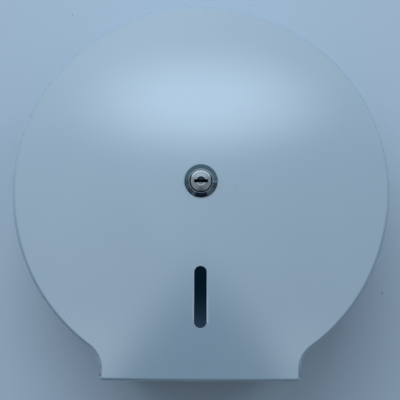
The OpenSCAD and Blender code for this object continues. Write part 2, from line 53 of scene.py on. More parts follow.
# What a noise's value mostly lies between, the scales of the finishes' noises per metre, how
# much finer a metal's are than its spots, and the shares that roughness goes between
NOISE_RANGE = (0.2, 0.8)
CLOUD_SCALE = 18.0
CLOUD_DETAIL = 1.5
PATCH_SCALE = 45.0
WAVE_SCALE = 11.0
GRAIN_SCALE = 1500.0
GLOSS_FINER = 2.3
GRAIN_FINER = 12.0
PLASTIC_IOR = 1.5
PLASTIC_GLOSS = (0.9, 1.1)
METAL_GLOSS = (0.88, 1.12)


def linear(red, green, blue):
    """A colour given as screen values from 0 to 255, in linear light."""

    def channel(value):
        value /= 255
        return value / 12.92 if value <= 0.04045 else ((value + 0.055) / 1.055) ** 2.4

    return channel(red), channel(green), channel(blue), 1.0


class Nodes:
    """A node tree with short ways to add and join its nodes."""

    def __init__(self, tree):
        self.tree = tree

    def node(self, kind, inputs=None, **settings):
        """A new node; an input takes either a value or another node's output."""
        made = self.tree.nodes.new(kind)
        for key, value in settings.items():
            setattr(made, key, value)
        for key, value in (inputs or {}).items():
            if isinstance(value, bpy.types.NodeSocket):
                self.tree.links.new(value, made.inputs[key])
            else:
                made.inputs[key].default_value = value
        return made

    def math(self, operation, first, second=0.0):
        return self.node("ShaderNodeMath", {0: first, 1: second}, operation=operation).outputs[0]

    def fade(self, value, low, high):
        """Goes smoothly from 0 at low to 1 at high."""
        inputs = {"Value": value, "From Min": low, "From Max": high}
        made = self.node("ShaderNodeMapRange", inputs, interpolation_type="SMOOTHSTEP")
        return made.outputs["Result"]

    def fade_mm(self, value, ends):
        """The same for a length, with both ends in millimetres."""
        return self.fade(value, ends[0] * MM, ends[1] * MM)

    def split(self, vector):
        return self.node("ShaderNodeSeparateXYZ", {0: vector}).outputs

    def blend(self, factor, first, second, blend_type="MIX"):
        """Goes from a first colour to a second one."""
        inputs = {0: factor, 6: first, 7: second}
        made = self.node("ShaderNodeMix", inputs, data_type="RGBA", blend_type=blend_type)
        return made.outputs[2]


class Finish(Nodes):
    """A material's nodes, set on and fed into its own surface shader."""

    def __init__(self, name):
        self.material = bpy.data.materials.new(name)
        self.material.use_nodes = True
        super().__init__(self.material.node_tree)
        self.surface = self.tree.nodes["Principled BSDF"]
        self.place = self.node("ShaderNodeTexCoord").outputs["Object"]

    def set(self, **values):
        for key, value in values.items():
            self.surface.inputs[key.replace("_", " ")].default_value = value

    def feed(self, key, output):
        self.tree.links.new(output, self.surface.inputs[key])

    def noise(self, scale, detail=2.0, place=None):
        inputs = {"Vector": place or self.place, "Scale": scale, "Detail": detail}
        return self.node("ShaderNodeTexNoise", inputs).outputs["Fac"]

    def ramp(self, value, low=0.0, high=1.0):
        """Spreads a noise's usual range from low to high."""
        low_end, high_end = NOISE_RANGE
        inputs = {"Value": value, "From Min": low_end, "From Max": high_end}
        inputs.update({"To Min": low, "To Max": high})
        return self.node("ShaderNodeMapRange", inputs).outputs["Result"]

    def bump(self, height, distance, below=None):
        """Normals bent by a height, on top of those of a coarser bump."""
        inputs = {"Height": height, "Distance": distance, "Strength": 1.0}
        if below is not None:
            inputs["Normal"] = below
        return self.node("ShaderNodeBump", inputs).outputs["Normal"]


def plastic(name, light, dark, roughness, grain, wave):
    """Moulded plastic: faint clouds, uneven gloss, a fine grain and long low waves."""
    finish = Finish(name)
    clouds = finish.ramp(finish.noise(CLOUD_SCALE, CLOUD_DETAIL))
    finish.color = finish.blend(clouds, light, dark)
    finish.feed("Base Color", finish.color)
    low, high = (roughness * share for share in PLASTIC_GLOSS)
    finish.feed("Roughness", finish.ramp(finish.noise(PATCH_SCALE), low, high))
    long_waves = finish.bump(finish.noise(WAVE_SCALE, 1.0), wave)
    finish.feed("Normal", finish.bump(finish.noise(GRAIN_SCALE), grain, long_waves))
    finish.set(IOR=PLASTIC_IOR)
    return finish


def metal(name, light, dark, roughness, scale, grain):
    """Plated sheet or bar: slight spots in colour and gloss and a fine grain."""
    finish = Finish(name)
    finish.set(Metallic=1.0)
    finish.color = finish.blend(finish.ramp(finish.noise(scale)), light, dark)
    finish.feed("Base Color", finish.color)
    low, high = (roughness * share for share in METAL_GLOSS)
    finish.feed("Roughness", finish.ramp(finish.noise(scale * GLOSS_FINER), low, high))
    finish.feed("Normal", finish.bump(finish.noise(scale * GRAIN_FINER, 1.0), grain))
    return finish


# The cover's moulded shape in millimetres, its solid's but for a tighter front edge
COVER_R = 135.0
COVER_DEPTH = 122.0
FRONT_CROWN = 7.0
COVER_WALL = 2.8
SIDE_DRAFT = 2.4
EDGE_R = 3.2
REAR_GAP = 2.0
SKIRT_W = 147.0
SKIRT_DROP = 133.3
NECK_R = 17.2
CORNER_R = 5.0
OUTLET_LEDGE = 13.5
OUTLET_LIP = 10.0
NOTCH_H = 7.5
NOTCH_CUT = 1.2
NOTCH_RUN = 14.0
NOTCH_RISE = 9.6
WINDOW_W = 8.6
WINDOW_H = 43.6
WINDOW_DROP = 70.8
WINDOW_FLANGE = 6.0
LOCK_RISE = 10.0
BARREL_D = 18.8
BARREL_FLAT = 16.0
SPOT_D = 23.8
SPOT_CUT = 0.2
PAD_R = 14.86
PAD_H = 1.2
HINGE_OUT = 12.0
HINGE_RISE = 11.3
PIN_D = 4.0
SEAT_GAP = 0.2
RIM_DEPTH = 24.0
STRIP_LIFT = 0.6

# Small roundings of the cover's mesh, and the play and overlap of its cuts and ribs
MOUTH_R = 0.25
REAR_SOFT = 0.5
REAR_SHARE = 0.3
LEAST_CORNER_R = 0.8
SEAT_CORNER_R = 3.0
SPOT_SOFT = 0.4
PAD_SOFT = 0.5
LUG_PLAY = 0.3
PIN_PLAY = 0.05
OVERLAP = 1.0
LEDGE_BACK = RIM_DEPTH + 3

DOME_R = (COVER_R**2 + FRONT_CROWN**2) / (2 * FRONT_CROWN)
HINGE_Z = HINGE_RISE - SKIRT_DROP
NOTCH_Z = NOTCH_RISE - SKIRT_DROP
OUTLET_HALF = SKIRT_W / 2 - OUTLET_LEDGE

# Point counts along half of the outline
BOTTOM_STEPS = 14
CORNER_STEPS = 8
NECK_STEPS = 14
ROUND_STEPS = 110

# Point counts of the hinge lug's cut, a small circle, the slot's round end and a seat's corner
LUG_STEPS = 16
CIRCLE_STEPS = 24
SLOT_STEPS = 20
SEAT_CORNER_STEPS = 5

# Ring counts of each skin: over its front edge, over the dome and up the side wall
OUTER_RINGS = (12, 22, 8)
INNER_RINGS = (5, 16, 6)
DOME_SPACING = 1.15


def front_at(r):
    """Distance from the wall to the domed front, at a distance from the axis."""
    return COVER_DEPTH - DOME_R + math.sqrt(DOME_R**2 - r**2)


SIDE_TOP = front_at(COVER_R - SIDE_DRAFT - EDGE_R) - EDGE_R
OUTLET_FRONT = front_at(SKIRT_DROP) - OUTLET_LIP
LOCK_SEAT = front_at(LOCK_RISE) - SPOT_CUT
LOCK_PAD = front_at(LOCK_RISE) - COVER_WALL - PAD_H
STRIP_Z = COVER_WALL + SIDE_DRAFT + STRIP_LIFT - SKIRT_DROP
NOTCH_FRONT = front_at(math.hypot(SKIRT_W / 2, NOTCH_Z))
NOTCH_EDGE = SKIRT_W / 2 - SIDE_DRAFT - NOTCH_CUT

# Where the cutters end outside of what they cut, and how the slot's cutter widens at its mouth
BEHIND = -0.5
IN_FRONT = 5
BELOW = -SKIRT_DROP - 5
FAR_BELOW = BELOW - 10
LEDGE_TOP = HINGE_Z - 2
UNDER_WINDOW = -3.0
OVER_WINDOW = 2.0
MOUTH_ANGLES = (0, 20, 40, 58, 72)
MOUTH_FLARE = 1.0
FLARE_LIFT = 0.2

# The lock pad's ribs: their directions, half widths, and reach and height past the pad's rim
PAD_RIB_ANGLES = range(30, 360, 60)
PAD_RIB_HALF = (0.9, 0.7)
PAD_RIB_INNER = -1
PAD_RIB_MIDDLE = (7, 0.4)
PAD_RIB_OUTER = 9

# A melted stake's radius and height above the cover's inner face, from its head to the wall
STAKE = ((1.2, -2.4), (1.9, -2.3), (2.2, -1.95), (2.2, -1.5), (1.3, -1.5), (1.3, 0.4))

MERGE_DISTANCE = 0.002 * MM
SHARP_ANGLE = math.radians(32)
BEVEL_WIDTH = 0.3 * MM
BEVEL_ANGLE = math.radians(40)


def arc(cx, cz, r, start, end, steps):
    """Points along an arc, both ends included; angles in degrees."""
    points = []
    for i in range(steps + 1):
        angle = math.radians(start + (end - start) * i / steps)
        points.append((cx + r * math.cos(angle), cz + r * math.sin(angle)))
    return points


def circle(cx, cz, r):
    """Points all round a circle."""
    return arc(cx, cz, r, 0, 360, CIRCLE_STEPS)[:-1]


def outline(inset):
    """The cover's whole outline, drawn in by an inset."""
    neck_x = SKIRT_W / 2 + NECK_R
    neck_z = -math.sqrt((COVER_R + NECK_R) ** 2 - neck_x**2)
    neck = math.degrees(math.atan2(neck_z, neck_x))
    w = SKIRT_W / 2 - inset
    b = SKIRT_DROP - inset
    c = max(CORNER_R - inset, LEAST_CORNER_R)
    right = [((w - c) * i / BOTTOM_STEPS, -b) for i in range(BOTTOM_STEPS)]
    right += arc(w - c, c - b, c, -90, 0, CORNER_STEPS)
    right += arc(neck_x, neck_z, NECK_R + inset, 180, 180 + neck, NECK_STEPS)
    right += arc(0, 0, COVER_R - inset, neck, 90, ROUND_STEPS)[1:]
    return right + [(-x, z) for x, z in right[-2:0:-1]]


def at_depth(points, depth):
    """Points laid in a plane at a distance from the wall."""
    return [(x, -depth, z) for x, z in points]


def on_front(points, back):
    """Points laid on the domed front or a distance behind it."""
    return [(x, back - front_at(math.hypot(x, z)), z) for x, z in points]


def polar(points, radius):
    """The points moved to a radius round the lock, each along its own direction."""
    moved = []
    for x, z in points:
        angle = math.atan2(z - LOCK_RISE, x)
        r = radius(angle) if callable(radius) else radius
        moved.append((r * math.cos(angle), LOCK_RISE + r * math.sin(angle)))
    return moved


def shrunk(points, scale, low):
    """The points drawn in towards the lock, ending on a circle round it."""
    ring = []
    for x, z in points:
        dx, dz = x, z - LOCK_RISE
        reach = math.hypot(dx, dz)
        r = low + (reach - low) * scale
        ring.append((dx / reach * r, LOCK_RISE + dz / reach * r))
    return ring


def skin_rings(inset, r, back, fillet, dome, low):
    """Rings of one skin, from its rear edge to a circle round the lock."""
    ends = outline(inset + SIDE_DRAFT + r)
    rim = [front_at(math.hypot(x, z)) - back for x, z in ends]
    rings = []
    for k in range(fillet + 1):
        t = math.pi / 2 * k / fillet
        points = outline(inset + SIDE_DRAFT + r * (1 - math.cos(t)))
        rings.append([
            (x, -(e - r * (1 - math.sin(t))), z) for (x, z), e in zip(points, rim)
        ])
    for k in range(1, dome + 1):
        scale = (1 - k / dome) ** DOME_SPACING
        rings.append(on_front(shrunk(ends, scale, low), back))
    return rings


def side_rings(inset, top, steps, sign):
    """Rings of the side wall, from a softened rear edge up to the front's rounding."""
    edge = outline(inset)
    turn = REAR_SOFT * REAR_SHARE
    rings = [
        at_depth(outline(inset + sign * REAR_SOFT), REAR_GAP),
        at_depth(outline(inset + sign * turn), REAR_GAP + turn),
    ]
    for k in range(steps):
        share = k / steps
        ring = []
        for (x0, z0), (x1, y1, z1) in zip(edge, top):
            depth = (REAR_GAP + REAR_SOFT) * (1 - share) - y1 * share
            ring.append((x0 + (x1 - x0) * share, -depth, z0 + (z1 - z0) * share))
        rings.append(ring)
    return rings


def barrel_reach(fit):
    """Radius of the hole with two flats that the lock barrel fills."""
    def reach(angle):
        flat = (BARREL_FLAT / 2 + fit) / max(abs(math.cos(angle)), 1e-6)
        return min(BARREL_D / 2 + fit, flat)

    return reach


def band(n, a, b):
    """The faces between two rings of n points that start at the points a and b."""
    return [(a + i, a + (i + 1) % n, b + (i + 1) % n, b + i) for i in range(n)]


def mesh_of(name, rings, faces):
    """A mesh of rings of points in millimetres and of faces between them."""
    verts = [tuple(v * MM for v in point) for ring in rings for point in ring]
    mesh = bpy.data.meshes.new(name)
    mesh.from_pydata(verts, [], faces)
    return mesh


def mesh_from_rings(name, rings):
    """A closed surface through a loop of rings with equal point counts."""
    n, count = len(rings[0]), len(rings)
    faces = []
    for k in range(count):
        faces += band(n, k * n, (k + 1) % count * n)
    return mesh_of(name, rings, faces)


def cover_skins():
    """Both skins of the cover, joined at the rear edge and at the lock's hole."""
    edge, dome, side = OUTER_RINGS
    outer = skin_rings(0, EDGE_R, 0, edge, dome, SPOT_D / 2)
    outer = side_rings(0, outer[0], side, 1) + outer
    edge, dome, side = INNER_RINGS
    inner = skin_rings(COVER_WALL, EDGE_R - COVER_WALL, COVER_WALL, edge, dome, PAD_R)
    inner = side_rings(COVER_WALL, inner[0], side, -1) + inner
    base = outline(SIDE_DRAFT + EDGE_R)
    reach = barrel_reach(SEAT_GAP / 2)
    lock = [
        at_depth(polar(base, SPOT_D / 2), LOCK_SEAT),
        at_depth(polar(base, SPOT_D / 2 - SPOT_SOFT), LOCK_SEAT),
        at_depth(polar(base, reach), LOCK_SEAT),
        at_depth(polar(base, reach), LOCK_PAD),
        at_depth(polar(base, PAD_R - PAD_SOFT), LOCK_PAD),
        at_depth(polar(base, PAD_R), LOCK_PAD + PAD_SOFT),
    ]
    return mesh_from_rings("cover", outer + lock + inner[::-1])


def solid_from_loops(name, loops):
    """A closed solid through a stack of loops, with flat ends."""
    n, count = len(loops[0]), len(loops)
    faces = [tuple(range(n))[::-1]]
    for k in range(count - 1):
        faces += band(n, k * n, (k + 1) * n)
    faces.append(tuple(range((count - 1) * n, count * n)))
    mesh = mesh_of(name, loops, faces)
    shape = bmesh.new()
    shape.from_mesh(mesh)
    bmesh.ops.recalc_face_normals(shape, faces=shape.faces)
    shape.to_mesh(mesh)
    shape.free()
    return mesh


def stadium(width, height):
    """A slot's outline with round ends."""
    reach = (height - width) / 2
    top = arc(0, reach, width / 2, 0, 180, SLOT_STEPS)
    return top + arc(0, -reach, width / 2, 180, 360, SLOT_STEPS)


def rounded(width, height, r):
    """A rectangle's outline with round corners."""
    x, z = width / 2 - r, height / 2 - r
    points = []
    for cx, cz, start in ((x, z, 0), (-x, z, 90), (-x, -z, 180), (x, -z, 270)):
        points += arc(cx, cz, r, start, start + 90, SEAT_CORNER_STEPS)
    return points


def at_window(points, height):
    """Points of the window's own plane, at a height above the cover's inner face."""
    tilt = math.asin(WINDOW_DROP / DOME_R)
    depth = front_at(WINDOW_DROP) - COVER_WALL
    laid = []
    for u, v in points:
        h = height(u, v) if callable(height) else height
        laid.append((
            u,
            -depth - v * math.sin(tilt) - h * math.cos(tilt),
            -WINDOW_DROP + v * math.cos(tilt) - h * math.sin(tilt),
        ))
    return laid


def above_front(lift):
    """Height in the window's plane that follows the cover's outer face, plus a lift."""
    return lambda u, v: COVER_WALL - (u * u + v * v) / (2 * DOME_R) + lift


def slot_loop(grow, height):
    """The slot's outline at a height, wider all round by half of grow."""
    return at_window(stadium(WINDOW_W + grow, WINDOW_H + grow), height)


def slot_cutter():
    """The window's slot, with a softened mouth."""
    loops = [slot_loop(0, UNDER_WINDOW)]
    for angle in MOUTH_ANGLES:
        t = math.radians(angle)
        grow = 2 * MOUTH_R * (1 - math.cos(t))
        lift = -MOUTH_R * (1 - math.sin(t))
        loops.append(slot_loop(grow, above_front(lift)))
    grow += MOUTH_FLARE
    loops.append(slot_loop(grow, above_front(lift + FLARE_LIFT)))
    loops.append(slot_loop(grow, above_front(OVER_WINDOW)))
    return solid_from_loops("slot_cutter", loops)


def seat_cutter():
    """The flat seat of the window's flange."""
    edge = 2 * (WINDOW_FLANGE + SEAT_GAP)
    shape = rounded(WINDOW_W + edge, WINDOW_H + edge, SEAT_CORNER_R)
    loops = [at_window(shape, height) for height in (UNDER_WINDOW, 0.0)]
    return solid_from_loops("seat_cutter", loops)


def along_x(points, x1, x2):
    """Two loops of (depth, height) points, at two places across."""
    return [[(x, -depth, z) for depth, z in points] for x in (x1, x2)]


def block_points(d1, d2, z1, z2):
    """A rectangle between two depths and two heights."""
    return [(d1, z1), (d2, z1), (d2, z2), (d1, z2)]


def draft_at(depth):
    """How far the drafted side wall has come inwards at a depth."""
    return SIDE_DRAFT * (depth - REAR_GAP) / (SIDE_TOP - REAR_GAP)


def relief_cutters():
    """What the cover loses at the outlet, at the hinge and at the pull notches."""
    wide = SKIRT_W
    inside = SKIRT_W / 2 - COVER_WALL - draft_at(HINGE_OUT) + LUG_PLAY
    lug = arc(HINGE_OUT, HINGE_Z, HINGE_RISE - LUG_PLAY, 180, 270, LUG_STEPS)
    lug = [(BEHIND, HINGE_Z)] + lug + [(HINGE_OUT, FAR_BELOW), (BEHIND, FAR_BELOW)]
    ledge = block_points(BEHIND, HINGE_OUT, FAR_BELOW, LEDGE_TOP)
    outlet = block_points(BEHIND, OUTLET_FRONT, BELOW, LEDGE_TOP)
    pin = circle(HINGE_OUT, HINGE_Z, PIN_D / 2 + PIN_PLAY)
    notch = block_points(
        NOTCH_FRONT - NOTCH_RUN,
        NOTCH_FRONT + IN_FRONT,
        NOTCH_Z - NOTCH_H / 2,
        NOTCH_Z + NOTCH_H / 2,
    )
    cuts = (
        ("lug_cutter", lug, -wide, wide),
        ("ledge_cutter", ledge, -inside, inside),
        ("outlet_cutter", outlet, -OUTLET_HALF, OUTLET_HALF),
        ("pin_cutter", pin, -wide, wide),
        ("notch_cutter", notch, -NOTCH_EDGE, -wide),
        ("notch_cutter", notch, NOTCH_EDGE, wide),
    )
    return [solid_from_loops(name, along_x(shape, x1, x2)) for name, shape, x1, x2 in cuts]


def placed(name, mesh):
    """An object of a mesh, linked to the scene."""
    made = bpy.data.objects.new(name, mesh)
    bpy.context.scene.collection.objects.link(made)
    return made


def carved(name, mesh, cutters):
    """The mesh with each cutter taken away from it."""
    body = placed(name, mesh)
    tools = [placed(cutter.name, cutter) for cutter in cutters]
    for tool in tools:
        step = body.modifiers.new(tool.name, "BOOLEAN")
        step.operation = "DIFFERENCE"
        step.solver = "EXACT"
        step.object = tool
    depsgraph = bpy.context.evaluated_depsgraph_get()
    result = bpy.data.meshes.new_from_object(body.evaluated_get(depsgraph))
    for used in tools + [body]:
        bpy.data.objects.remove(used)
    return result


def joined(name, meshes):
    """One mesh of several, with close points merged and sharp edges marked by angle."""
    shape = bmesh.new()
    for mesh in meshes:
        shape.from_mesh(mesh)
    bmesh.ops.remove_doubles(shape, verts=shape.verts, dist=MERGE_DISTANCE)
    made = bpy.data.meshes.new(name)
    shape.to_mesh(made)
    shape.free()
    made.shade_smooth()
    made.set_sharp_from_angle(angle=SHARP_ANGLE)
    return made


def add_piece(name, mesh, body, slot, finish, *replaced):
    """A new piece that rides on a body and stands for CAD nodes."""
    made = placed(name, mesh)
    made.data.materials.clear()
    made.data.materials.append(finish.material)
    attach(made, body)
    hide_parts(*replaced)
    return made


def ledge_meshes():
    """The two flat ledges that carry the tear strips."""
    x1, x2 = OUTLET_HALF, SKIRT_W / 2 - SIDE_DRAFT - OVERLAP
    shape = block_points(LEDGE_BACK, OUTLET_FRONT + OVERLAP, STRIP_Z - COVER_WALL, STRIP_Z)
    return [
        solid_from_loops("ledge", along_x(shape, side * x1, side * x2)) for side in (-1, 1)
    ]


def pad_rib_meshes():
    """Six short ribs round the lock's pad."""
    top = front_at(LOCK_RISE) - COVER_WALL / 2
    foot, head = PAD_RIB_HALF
    run, rise = PAD_RIB_MIDDLE
    profile = (
        (PAD_R + PAD_RIB_INNER, LOCK_PAD),
        (PAD_R + run, LOCK_PAD + rise),
        (PAD_R + PAD_RIB_OUTER, top),
    )
    ribs = []
    for angle in PAD_RIB_ANGLES:
        c, s = math.cos(math.radians(angle)), math.sin(math.radians(angle))
        loops = []
        for r, low in profile:
            corners = ((-foot, low), (foot, low), (head, top), (-head, top))
            loops.append([
                (r * c - w * s, -d, LOCK_RISE + r * s + w * c) for w, d in corners
            ])
        ribs.append(solid_from_loops("pad_rib", loops))
    return ribs


def stake_meshes():
    """The melted heads of the two stakes that hold the window."""
    stakes = []
    for side in (-1, 1):
        v = side * (WINDOW_H + WINDOW_FLANGE) / 2
        loops = [at_window(circle(0, v, r), h) for r, h in STAKE]
        stakes.append(solid_from_loops("stake", loops))
    return stakes


def build_cover(finish):
    """The cover's fine mesh in place of its solid, shaded evenly round the cuts."""
    shell = carved("cover", cover_skins(), [slot_cutter(), seat_cutter()] + relief_cutters())
    mesh = joined("cover", [shell] + ledge_meshes() + pad_rib_meshes() + stake_meshes())
    made = add_piece("cover", mesh, "hinged_cover", "cover_plastic", finish, "cover_shell")
    even = made.modifiers.new("even_shading", "WEIGHTED_NORMAL")
    even.keep_sharp = True


# Marks of use, and painted light and shade. Specks are given as across, up and radius in mm.
# REACH is in mm from the lock's axis, RISE in mm above it, and the keyway's START and END in mm
# behind the plug's face.
COVER_SPECKS = ((25.0, 4.4, 0.45), (-91.6, -86.6, 0.4))
WALL_SPECKS = ((-106.0, 148.0, 0.6), (149.0, -79.0, 0.7))
SPECK_COLOR = linear(58, 72, 84)
# The colour of dust and painted shade inside the pull notches
NOTCH_DUST_AND_SHADE = linear(38, 50, 62)
FRONT_FACING = -0.5
# How far the notches' painted shade reaches past their walls
NOTCH_MASK_MARGIN = 0.05
WINDOW_SPECULAR = 0.06
# The window's colour grows paler from this height downwards
LOWER_PALE_TOP = -56.0
LOWER_PALE_RUN = 38.0
LOWER_PALE_POWER = 2.6
LOWER_PALE_COLOR = linear(42, 62, 79)
# A painted highlight on the lock ring's lip
LIP_HIGHLIGHT_REACH = (8.9, 8.4)
LIP_HIGHLIGHT_COLOR = linear(142, 163, 174)
GAP_REACH = (8.25, 8.0)
# Painted shade in the gap between ring and plug, and painted light at the gap's top
GAP_SHADE = linear(30, 42, 52)
GAP_LIT_RISE = (2.5, 5.5)
GAP_LIT_COLOR = linear(150, 166, 174)
TURNING_SCALE = 3500.0
TURNED_LIGHT = linear(141, 151, 156)
TURNED_DARK = linear(127, 138, 143)
TURNED_GRAIN = 0.0006 * MM
TURNED_ROUGHNESS = (0.2, 0.26)
# A painted highlight on the plug's top rim
CRESCENT_HIGHLIGHT_REACH = (6.1, 7.1)
CRESCENT_HIGHLIGHT_RISE = (1.5, 4.0)
CRESCENT_HIGHLIGHT_COLOR = linear(218, 227, 231)
# A painted highlight on the plug's sloping faces
SLANT_HIGHLIGHT_FACING = (0.95, 0.85)
SLANT_HIGHLIGHT_COLOR = linear(232, 240, 244)
# Painted shade in the upper half of the plug's dish
DISH_SHADE_REACH = (3.3, 2.9)
DISH_SHADE_RISE = (0.2, 0.6)
DISH_SHADE_COLOR = linear(44, 56, 66)
# Painted shade in the keyway, from these depths behind the plug's face
KEYWAY_SHADE_START = 1.0
KEYWAY_SHADE_END = 1.6
KEYWAY_SHADE_COLOR = linear(22, 30, 38)
FACE_FRONT = LOCK_SEAT + 1.8
PLUG_DOME_R = 0.042


def dress(name, finish):
    """Gives a CAD node its finish."""
    for slot in nodes[name].material_slots:
        slot.material = finish.material


def add_specks(finish, specks):
    """Tiny dark specks on the front face, each given as across, up and radius in mm."""
    place = finish.split(finish.place)
    normal = finish.node("ShaderNodeTexCoord").outputs["Normal"]
    front = finish.math("LESS_THAN", finish.split(normal)["Y"], FRONT_FACING)
    for x, z, radius in specks:
        aside = finish.math("SUBTRACT", place["X"], x * MM)
        up = finish.math("SUBTRACT", place["Z"], z * MM)
        reach = finish.node("ShaderNodeCombineXYZ", {0: aside, 1: up}).outputs[0]
        reach = finish.node("ShaderNodeVectorMath", {0: reach}, operation="LENGTH").outputs["Value"]
        mark = finish.math("MULTIPLY", finish.fade_mm(reach, (radius, radius / 2)), front)
        finish.color = finish.blend(mark, finish.color, SPECK_COLOR)
    finish.feed("Base Color", finish.color)


def add_notch_dust_and_shade(finish):
    """Dust and painted shade in the two pull notches: a dark colour painted inside them."""
    place = finish.split(finish.place)
    aside = finish.math("ABSOLUTE", place["X"])
    outward = finish.math("GREATER_THAN", aside, (NOTCH_EDGE - NOTCH_MASK_MARGIN) * MM)
    level = finish.math("ABSOLUTE", finish.math("SUBTRACT", place["Z"], NOTCH_Z * MM))
    inside = finish.math("LESS_THAN", level, (NOTCH_H / 2 + NOTCH_MASK_MARGIN) * MM)
    start = NOTCH_FRONT - NOTCH_RUN - 2 * NOTCH_MASK_MARGIN
    deep = finish.math("LESS_THAN", place["Y"], -start * MM)
    mask = finish.math("MULTIPLY", finish.math("MULTIPLY", outward, inside), deep)
    # Painted shade, with dust, over the inside of the notches
    finish.feed("Base Color", finish.blend(mask, finish.color, NOTCH_DUST_AND_SHADE))


def soften(name):
    """Rounds a CAD node's sharp edges a little, as moulding and plating do."""
    bevel = nodes[name].modifiers.new("soft_edges", "BEVEL")
    bevel.width = BEVEL_WIDTH
    bevel.segments = 2
    bevel.limit_method = "ANGLE"
    bevel.angle_limit = BEVEL_ANGLE
    bevel.use_clamp_overlap = True


def smoked():
    """Dark window plastic, paler towards its lower end."""
    finish = plastic(
        "window_plastic",
        light=linear(0, 20, 32),
        dark=linear(0, 17, 29),
        roughness=0.12,
        grain=0.001 * MM,
        wave=0.02 * MM,
    )
    down = finish.math("SUBTRACT", LOWER_PALE_TOP * MM, finish.split(finish.place)["Z"])
    share = finish.math("MAXIMUM", finish.math("DIVIDE", down, LOWER_PALE_RUN * MM), 0.0)
    lower_pale = finish.math("MINIMUM", finish.math("POWER", share, LOWER_PALE_POWER), 1.0)
    # Paler towards the window's lower end
    finish.feed("Base Color", finish.blend(lower_pale, finish.color, LOWER_PALE_COLOR))
    finish.set(Specular_IOR_Level=WINDOW_SPECULAR)
    return finish


def from_lock(finish):
    """The height above the lock's axis, the distance from it, and its square."""
    place = finish.split(finish.place)
    up = finish.math("SUBTRACT", place["Z"], LOCK_RISE * MM)
    across_square = finish.math("MULTIPLY", place["X"], place["X"])
    square = finish.math("ADD", across_square, finish.math("MULTIPLY", up, up))
    return up, finish.math("SQRT", square), square


def lock_chrome():
    """The lock's ring: dark plating, with a painted highlight on its lip and painted shade in the
    gap, the gap's top lighter as painted light.
    """
    finish = metal(
        "chrome",
        light=linear(94, 118, 132),
        dark=linear(86, 110, 124),
        roughness=0.09,
        scale=120.0,
        grain=0.0003 * MM,
    )
    up, reach, _ = from_lock(finish)
    # Painted highlight on the lip; painted shade in the gap, lighter at its top as painted light
    lip_highlight = finish.blend(finish.fade_mm(reach, LIP_HIGHLIGHT_REACH), finish.color, LIP_HIGHLIGHT_COLOR)
    gap_shade_and_light = finish.blend(finish.fade_mm(up, GAP_LIT_RISE), GAP_SHADE, GAP_LIT_COLOR)
    finish.feed("Base Color", finish.blend(finish.fade_mm(reach, GAP_REACH), lip_highlight, gap_shade_and_light))
    return finish


def turned_nickel():
    """The plug's face: satin rings on a low dome, with painted highlights on its top rim and
    sloping faces, and painted shade in the dish's upper half and in the keyway.
    """
    finish = Finish("nickel")
    finish.set(Metallic=1.0)
    up, reach, square = from_lock(finish)
    rings = finish.node("ShaderNodeCombineXYZ", {0: reach}).outputs[0]
    marks = finish.noise(TURNING_SCALE, place=rings)
    color = finish.blend(finish.ramp(marks), TURNED_LIGHT, TURNED_DARK)
    # Painted highlight on the plug's top rim
    crescent_highlight = finish.math(
        "MULTIPLY", finish.fade_mm(reach, CRESCENT_HIGHLIGHT_REACH), finish.fade_mm(up, CRESCENT_HIGHLIGHT_RISE)
    )
    color = finish.blend(crescent_highlight, color, CRESCENT_HIGHLIGHT_COLOR)
    # Painted highlight on faces that slope away from the front
    normal = finish.split(finish.node("ShaderNodeNewGeometry").outputs["True Normal"])
    facing = finish.math("ABSOLUTE", normal["Y"])
    color = finish.blend(finish.fade(facing, *SLANT_HIGHLIGHT_FACING), color, SLANT_HIGHLIGHT_COLOR)
    # Painted shade in the dish's upper half
    dish_shade = finish.math(
        "MULTIPLY", finish.fade_mm(up, DISH_SHADE_RISE), finish.fade_mm(reach, DISH_SHADE_REACH)
    )
    color = finish.blend(dish_shade, color, DISH_SHADE_COLOR)
    # Painted shade in the keyway
    ends = (KEYWAY_SHADE_START - FACE_FRONT, KEYWAY_SHADE_END - FACE_FRONT)
    keyway_shade = finish.fade_mm(finish.split(finish.place)["Y"], ends)
    finish.feed("Base Color", finish.blend(keyway_shade, color, KEYWAY_SHADE_COLOR))
    finish.feed("Roughness", finish.ramp(marks, *TURNED_ROUGHNESS))
    dome = finish.bump(finish.math("MULTIPLY", square, -0.5 / PLUG_DOME_R), 1.0)
    finish.feed("Normal", finish.bump(marks, TURNED_GRAIN, dome))
    return finish


MOTTLE_SCALE = 3.0
MOTTLE_DETAIL = 4.0
MOTTLE_PALER = 1.03


def backdrop(name, color, roughness, mirrored, specks):
    """A finish that shows its front to the camera, or also in mirrors, else is clear."""
    finish = Finish(name)
    mottle = finish.ramp(finish.noise(MOTTLE_SCALE, MOTTLE_DETAIL))
    paler = tuple(min(1.0, value * MOTTLE_PALER) for value in color[:3]) + (1.0,)
    finish.color = finish.blend(mottle, color, paler)
    add_specks(finish, specks)
    finish.set(Roughness=roughness)
    rays = finish.node("ShaderNodeLightPath")
    seen = rays.outputs["Is Camera Ray"]
    if mirrored:
        seen = finish.math("MAXIMUM", seen, rays.outputs["Is Glossy Ray"])
        seen = finish.math("MAXIMUM", seen, rays.outputs["Is Transmission Ray"])
    behind = finish.node("ShaderNodeNewGeometry").outputs["Backfacing"]
    front = finish.math("MAXIMUM", finish.math("SUBTRACT", seen, behind), 0.0)
    clear = finish.node("ShaderNodeBsdfTransparent").outputs[0]
    mix = finish.node("ShaderNodeMixShader", {0: front, 1: clear, 2: finish.surface.outputs[0]})
    output = finish.tree.nodes["Material Output"]
    finish.tree.links.new(mix.outputs[0], output.inputs["Surface"])
    return finish


def sheet(name, corners, finish):
    """One flat face of the stage."""
    mesh = bpy.data.meshes.new(name)
    mesh.from_pydata(corners, [], [tuple(range(len(corners)))])
    mesh.materials.append(finish.material)
    made = placed(name, mesh)


